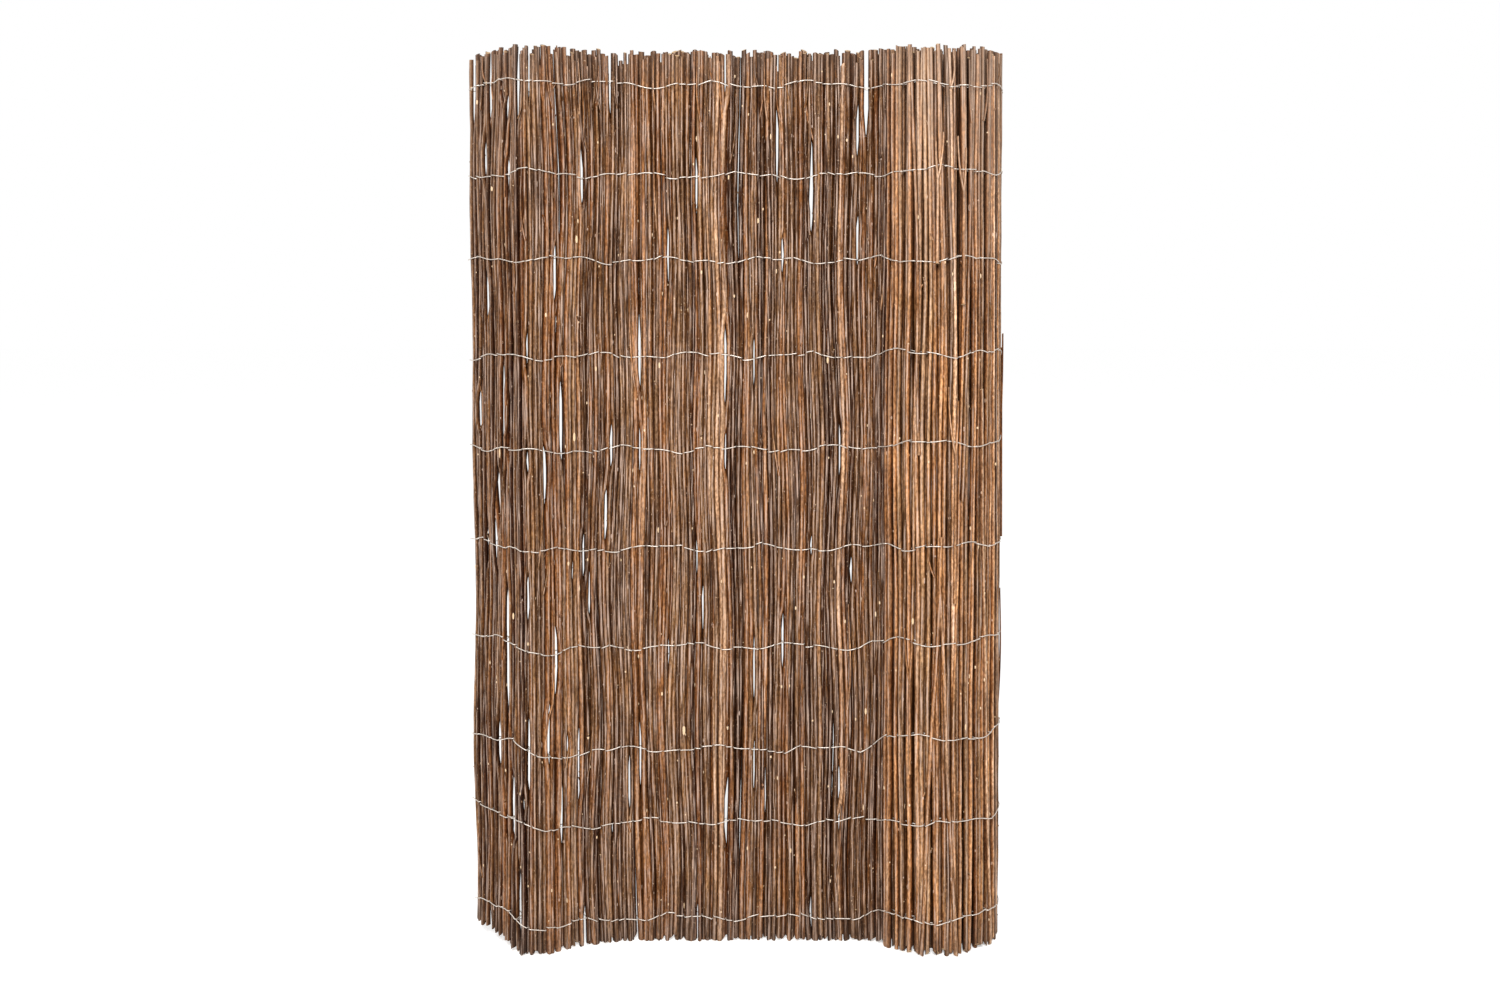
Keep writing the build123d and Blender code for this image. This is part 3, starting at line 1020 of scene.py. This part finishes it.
def painted_light_and_weathering(tree, bark, where, shade, open_side, streaks):
    """Bark with a painted highlight on its open crests and painted shade on its flanks, darker at the feet,
    and faded near the tops.
    """
    # Painted highlight: the open crests paled in streaks
    exposed = span(tree, open_side, 0.8, 1.0, 0.0, 0.8)
    crest_highlight = maths(tree, "MULTIPLY", exposed, span(tree, streaks, 0.46, 0.62))
    bark = mix(tree, crest_highlight, bark, CREST_HIGHLIGHT)
    # Painted shade: the rods' flanks darkened, down to the cracks between them
    crevice_shade = ramp(tree, open_side, PAINTED_CREVICE_SHADE)
    bark = mix(tree, 1.0, bark, crevice_shade, "MULTIPLY")
    x, _, z = add_node(tree, "ShaderNodeSeparateXYZ", {0: where}).outputs
    on_roll = span(tree, x, *ROLL_X)
    on_wing = span(tree, x, *WING_X, 0.0, 0.7)
    fading = maths(tree, "MAXIMUM", on_roll, on_wing)
    faded = maths(tree, "MULTIPLY", span(tree, z, *FADED_Z, 0.0, 0.42), fading)
    faded = maths(tree, "MULTIPLY", faded, span(tree, shade, 0.05, 0.45, 0.15, 1.0))
    pale = mix(tree, 1.0, mix(tree, on_roll, FADED_WING, FADED_ROLL), crevice_shade, "MULTIPLY")
    bark = mix(tree, faded, bark, pale)
    bark = mix(tree, span(tree, z, *FOOT_Z, 0.38, 0.0), bark, DARK_FOOT)
    return mix(tree, span(tree, z, *TOP_Z, 0.0, 0.35), bark, GREY_TOP)


def willow_material():
    """Dry willow bark: a hue for each rod, patches, lengthwise streaks, specks, scars and cut ends."""
    tree, shader, material = new_material("willow_bark")
    tint = add_node(tree, "ShaderNodeAttribute", attribute_name="tint")
    hue, shade, kind = add_node(tree, "ShaderNodeSeparateColor", {"Color": tint.outputs["Color"]}).outputs
    where = add_node(tree, "ShaderNodeTexCoord").outputs["Object"]
    patches = noise(tree, where, (150, 150, 9))
    streaks = noise(tree, where, (1100, 1100, 26), 4.0)
    specks = noise(tree, where, (700, 700, 420), 2.0)
    bark = rod_bark(tree, where, hue, shade, patches, streaks)
    bark = mix(tree, span(tree, specks, 0.66, 0.74, 0.0, 0.6), bark, SPECK)
    bark = painted_light_and_weathering(tree, bark, where, shade, tint.outputs["Alpha"], streaks)
    scar = mix(tree, patches, *SCAR_COLOURS)
    wood = mix(tree, streaks, *WOOD_COLOURS)
    colour = mix(tree, span(tree, kind, 0.2, 0.4), bark, scar)
    colour = mix(tree, span(tree, kind, 0.6, 0.9), colour, wood)
    tree.links.new(colour, shader.inputs["Base Color"])
    tree.links.new(span(tree, streaks, 0.3, 0.7, 0.62, 0.42), shader.inputs["Roughness"])
    shader.inputs["Specular IOR Level"].default_value = 0.07
    relief = maths(tree, "ADD", streaks, specks)
    bump = add_node(tree, "ShaderNodeBump", {"Height": relief, "Strength": 0.35, "Distance": 0.0006})
    tree.links.new(bump.outputs[0], shader.inputs["Normal"])
    return material


def wire_material():
    """Galvanised wire: bright grey, dulled in patches."""
    tree, shader, material = new_material("galvanised_wire")
    where = add_node(tree, "ShaderNodeTexCoord").outputs["Object"]
    dull = noise(tree, where, (260, 260, 260))
    tree.links.new(mix(tree, dull, *WIRE_COLOURS), shader.inputs["Base Color"])
    tree.links.new(span(tree, dull, 0.3, 0.7, 0.35, 0.6), shader.inputs["Roughness"])
    shader.inputs["Metallic"].default_value = 0.7
    return material


def floor_material():
    """A plain pale studio floor that shows as white."""
    tree, shader, material = new_material("pale_floor")
    where = add_node(tree, "ShaderNodeTexCoord").outputs["Object"]
    colour = mix(tree, noise(tree, where, (3, 3, 3)), *FLOOR_COLOURS)
    tree.links.new(colour, shader.inputs["Base Color"])
    shader.inputs["Roughness"].default_value = 1.0
    shader.inputs["Specular IOR Level"].default_value = 0.0
    shader.inputs["Emission Color"].default_value = (1, 1, 1, 1)
    glow = span(tree, seen_directly(tree), 0.0, 1.0, 0.0, 1 - ROOM_LIGHT)
    tree.links.new(glow, shader.inputs["Emission Strength"])
    return material


# Studio

def seen_directly(tree):
    """1 where a ray comes from the camera, a mirror-like surface or glass, and 0 for soft light."""
    path = add_node(tree, "ShaderNodeLightPath").outputs
    camera_or_gloss = maths(tree, "MAXIMUM", path["Is Camera Ray"], path["Is Glossy Ray"])
    return maths(tree, "MAXIMUM", camera_or_gloss, path["Is Transmission Ray"])


def add_floor():
    """A wide flat floor at the rods' feet."""
    mesh = bpy.data.meshes.new("floor")
    corners = [(x * FLOOR_REACH, y * FLOOR_REACH, 0) for x, y in ((-1, -1), (1, -1), (1, 1), (-1, 1))]
    mesh.from_pydata(corners, [], [(0, 1, 2, 3)])
    floor = bpy.data.objects.new("floor", mesh)
    bpy.context.scene.collection.objects.link(floor)
    mesh.materials.append(floor_material())


def add_key_light():
    """A soft square light from the upper front."""
    lamp = bpy.data.lights.new("key", "AREA")
    lamp.size = KEY_SIZE
    lamp.energy = KEY_POWER
    light = bpy.data.objects.new("key", lamp)
    light.location = KEY_PLACE
    direction = np.array(KEY_TARGET) - np.array(KEY_PLACE)
    light.rotation_euler = Vector(direction).to_track_quat("-Z", "Y").to_euler()
    bpy.context.scene.collection.objects.link(light)


def add_studio():
    """Surroundings that look white and light the object softly, with a large key light."""
    world = bpy.data.worlds.new("white_room")
    bpy.context.scene.world = world
    world.use_nodes = True
    tree = world.node_tree
    background = tree.nodes["Background"]
    background.inputs["Color"].default_value = (1, 1, 1, 1)
    strength = span(tree, seen_directly(tree), 0.0, 1.0, ROOM_LIGHT, 1.0)
    tree.links.new(strength, background.inputs["Strength"])
    add_key_light()
    bpy.context.scene.view_settings.view_transform = "Standard"


def add_camera():
    """The photograph's view: in front of the mat at about 0.7 of its height, tipped slightly down."""
    lens = bpy.data.cameras.new("camera")
    lens.sensor_width = SENSOR_WIDTH
    lens.lens = LENS
    lens.shift_y = LENS_SHIFT
    camera = bpy.data.objects.new("camera", lens)
    camera.location = EYE
    camera.rotation_euler = (EYE_TILT, 0, 0)
    bpy.context.scene.collection.objects.link(camera)
    bpy.context.scene.camera = camera


def main():
    """Builds the rods, wires, floor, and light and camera."""
    willow, wire = willow_material(), wire_material()
    chance = Random(17)
    rods, reached = mat_rods(chance)
    rods += roll_rods(chance, reached)
    loose = loose_rods()
    mat, behind, roll, scars = Bundle(), Bundle(), Bundle(), Bundle()
    for rod in rods + loose:
        row = behind if rod.out == BEHIND else mat
        add_rod(row if rod.station < OPEN_LENGTH else roll, rod, chance)
    add_growth(scars, [rod for rod in rods + loose if rod.detail])
    add_peeled_spots(scars, rods)
    for fork in FORKS:
        add_fork(scars, *fork)
    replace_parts(mat.finish("mat_rods", willow), "open_mat")
    behind.finish("mat_rods_behind", willow)
    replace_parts(roll.finish("roll_rods", willow), "roll")
    scars.finish("bud_scars", willow)
    for row in range(len(MAT_ROWS)):
        lines = [wire_line(rods + loose, row, strand) for strand in (1, -1)]
        piece = add_wire(f"wire_row_{row + 1:02d}", lines, wire)
        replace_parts(piece, f"binding_wire_{row + 1:02d}_upper", f"binding_wire_{row + 1:02d}_lower")
    add_floor()
    add_studio()
    add_camera()


main()
